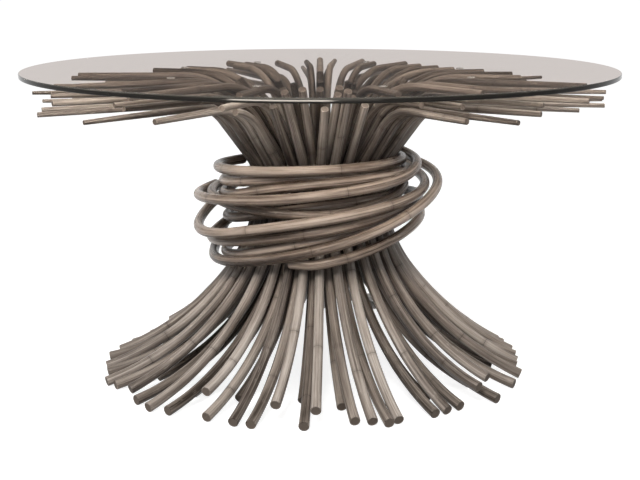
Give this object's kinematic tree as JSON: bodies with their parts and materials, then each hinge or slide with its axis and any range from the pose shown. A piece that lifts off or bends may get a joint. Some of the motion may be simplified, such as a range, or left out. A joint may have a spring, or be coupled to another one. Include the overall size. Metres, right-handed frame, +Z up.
{
  "type": "pedestal dining table",
  "caption": "Round glass dining table on a waisted pedestal of bent rattan poles that flare to the floor and under the top, bound at the waist with coiled cane.",
  "frame": {"origin": "on the floor, at the centre of the table's round footprint", "axes": "+Z up; the front, which faces the camera in the picture, is towards -Y; +X is to the right"},
  "size_m": [1.5238, 1.5238, 0.774],
  "materials": {
    "table_glass": "polished clear",
    "rattan_outer": "grey-brown driftwood stain, satin",
    "rattan_middle": "grey-brown driftwood stain, satin",
    "rattan_inner": "grey-brown driftwood stain, satin",
    "wrap_cane": "warm grey-brown stain, satin",
    "bumper_clear": "clear soft plastic",
    "hoop_steel": "flat mild steel",
    "core_wood": "plain plywood"
  },
  "bodies": {
    "base": {"outer_hoop": "hoop_steel", "inner_hoop": "hoop_steel", "core_disc": "core_wood", "outer_pole_01": "rattan_outer", "outer_pole_02": "rattan_outer", "outer_pole_03": "rattan_outer", "outer_pole_04": "rattan_outer", "outer_pole_05": "rattan_outer", "outer_pole_06": "rattan_outer", "outer_pole_07": "rattan_outer", "outer_pole_08": "rattan_outer", "outer_pole_09": "rattan_outer", "outer_pole_10": "rattan_outer", "outer_pole_11": "rattan_outer", "outer_pole_12": "rattan_outer", "outer_pole_13": "rattan_outer", "outer_pole_14": "rattan_outer", "outer_pole_15": "rattan_outer", "outer_pole_16": "rattan_outer", "outer_pole_17": "rattan_outer", "outer_pole_18": "rattan_outer", "outer_pole_19": "rattan_outer", "outer_pole_20": "rattan_outer", "outer_pole_21": "rattan_outer", "outer_pole_22": "rattan_outer", "outer_pole_23": "rattan_outer", "outer_pole_24": "rattan_outer", "outer_pole_25": "rattan_outer", "outer_pole_26": "rattan_outer", "outer_pole_27": "rattan_outer", "outer_pole_28": "rattan_outer", "outer_pole_29": "rattan_outer", "outer_pole_30": "rattan_outer", "outer_pole_31": "rattan_outer", "outer_pole_32": "rattan_outer", "middle_pole_pair_01": "rattan_middle", "middle_pole_pair_02": "rattan_middle", "middle_pole_pair_03": "rattan_middle", "middle_pole_pair_04": "rattan_middle", "middle_pole_pair_05": "rattan_middle", "middle_pole_pair_06": "rattan_middle", "middle_pole_pair_07": "rattan_middle", "middle_pole_pair_08": "rattan_middle", "middle_pole_pair_09": "rattan_middle", "middle_pole_pair_10": "rattan_middle", "middle_pole_pair_11": "rattan_middle", "middle_pole_pair_12": "rattan_middle", "middle_pole_pair_13": "rattan_middle", "middle_pole_pair_14": "rattan_middle", "middle_pole_pair_15": "rattan_middle", "middle_pole_pair_16": "rattan_middle", "inner_pole_group_1": "rattan_inner", "inner_pole_group_2": "rattan_inner", "inner_pole_group_3": "rattan_inner", "core_poles": "rattan_inner", "glass_bumpers": "bumper_clear", "inner_wrap_cane": "wrap_cane", "middle_wrap_cane": "wrap_cane", "outer_wrap_cane": "wrap_cane"},
    "glass": {"glass_top": "table_glass"}
  },
  "joints": [
    {"name": "glass_lift", "type": "slide", "parent": "base", "child": "glass", "axis": [0, 0, 1], "range_m": [0, 0.25]}
  ]
}
